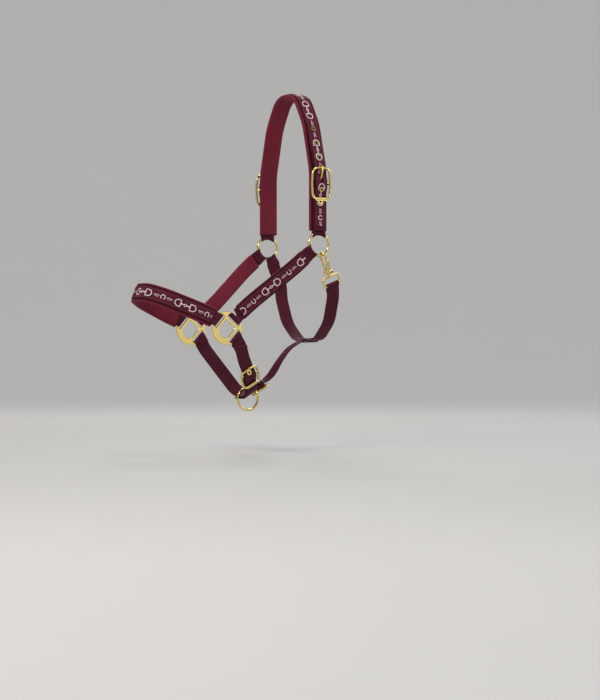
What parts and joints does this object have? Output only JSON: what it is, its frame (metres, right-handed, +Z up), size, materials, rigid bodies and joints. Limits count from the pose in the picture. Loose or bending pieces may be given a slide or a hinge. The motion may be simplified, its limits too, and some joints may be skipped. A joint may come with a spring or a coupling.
{
  "type": "horse headcollar",
  "caption": "Padded webbing headcollar: crown with buckles, cheek rings, cast halter squares, noseband, adjustable chin strap, lead ring and a throat strap that closes with a snap.",
  "frame": {"origin": "on the midline at the underside of the crown pad, where it sits on the horse's poll", "axes": "+X to the horse's left, -Y towards the muzzle, +Z up along the crown"},
  "size_m": [0.2118, 0.3586, 0.5641],
  "materials": {
    "webbing": "dark plum woven webbing",
    "printed_band": "burgundy band with a pale woven ornament",
    "pad": "crimson padded fabric with a woven hatch",
    "fittings": "polished pale gold",
    "eyelets": "polished pale gold",
    "spring_steel": "spring steel"
  },
  "bodies": {
    "crown": {"crown_pad": "pad", "crown_strap": "webbing", "crown_cover": "printed_band", "left_crown_eyelets": "eyelets", "right_crown_eyelets": "eyelets", "left_crown_billet": "webbing", "right_crown_billet": "webbing", "left_crown_buckle": "fittings", "right_crown_buckle": "fittings"},
    "left_crown_tongue": {"left_crown_tongue": "fittings"},
    "right_crown_tongue": {"right_crown_tongue": "fittings"},
    "left_cheek_ring": {"left_cheek_ring": "fittings"},
    "right_cheek_ring": {"right_cheek_ring": "fittings"},
    "headstall": {"noseband_webbing": "webbing", "noseband_cover": "printed_band", "noseband_pad": "pad", "left_halter_square": "fittings", "right_halter_square": "fittings", "left_cheek_webbing": "webbing", "right_cheek_webbing": "webbing", "left_cheek_cover": "printed_band", "right_cheek_cover": "printed_band", "left_cheek_lining": "pad", "right_cheek_lining": "pad", "chin_billet": "webbing", "chin_strap": "webbing", "chin_eyelets": "eyelets", "chin_buckle": "fittings", "jowl_loop": "fittings", "jowl_strap": "webbing", "throat_strap": "webbing", "snap_eye": "fittings"},
    "chin_tongue": {"chin_tongue": "fittings"},
    "lead_ring": {"lead_ring": "fittings"},
    "snap": {"snap_body": "fittings", "gate_pin": "fittings", "gate_spring": "spring_steel"},
    "snap_gate": {"snap_gate": "fittings"}
  },
  "joints": [
    {"name": "left_ring_turn", "type": "hinge", "parent": "crown", "child": "left_cheek_ring", "pos_m": [0.092, 0, -0.262], "axis": [1, 0, 0], "continuous": true},
    {"name": "right_ring_turn", "type": "hinge", "parent": "crown", "child": "right_cheek_ring", "pos_m": [-0.092, 0, -0.262], "axis": [1, 0, 0], "continuous": true},
    {"name": "left_crown_tongue_lift", "type": "hinge", "parent": "crown", "child": "left_crown_tongue", "pos_m": [0.0955, 0, -0.15615], "axis": [0, 1, 0], "range_deg": [0, 8]},
    {"name": "right_crown_tongue_lift", "type": "hinge", "parent": "crown", "child": "right_crown_tongue", "pos_m": [-0.0955, 0, -0.15615], "axis": [0, -1, 0], "range_deg": [0, 8]},
    {"name": "noseband_swing", "type": "hinge", "parent": "crown", "child": "headstall", "pos_m": [0, 0, -0.262], "axis": [-1, 0, 0], "range_deg": [0, 25]},
    {"name": "chin_tongue_lift", "type": "hinge", "parent": "headstall", "child": "chin_tongue", "pos_m": [0.04567, -0.11393, -0.49243], "axis": [0, -0.8678, -0.497], "range_deg": [0, 8]},
    {"name": "lead_ring_swing", "type": "hinge", "parent": "headstall", "child": "lead_ring", "pos_m": [0, -0.09557, -0.52448], "axis": [0, 0.8678, 0.497], "range_deg": [-8, 10]},
    {"name": "snap_swivel", "type": "hinge", "parent": "headstall", "child": "snap", "pos_m": [0.092, 0.02201, -0.31566], "axis": [0, 0.3795, -0.9252], "range_deg": [-15, 15]},
    {"name": "snap_gate_open", "type": "hinge", "parent": "snap", "child": "snap_gate", "pos_m": [0.09707, 0.02068, -0.30756], "axis": [-0.342, 0.8694, 0.3566], "range_deg": [-15, 0], "stiffness_Nm_per_rad": 0.05, "springref_deg": 17.19, "deforming": ["gate_spring"]}
  ]
}
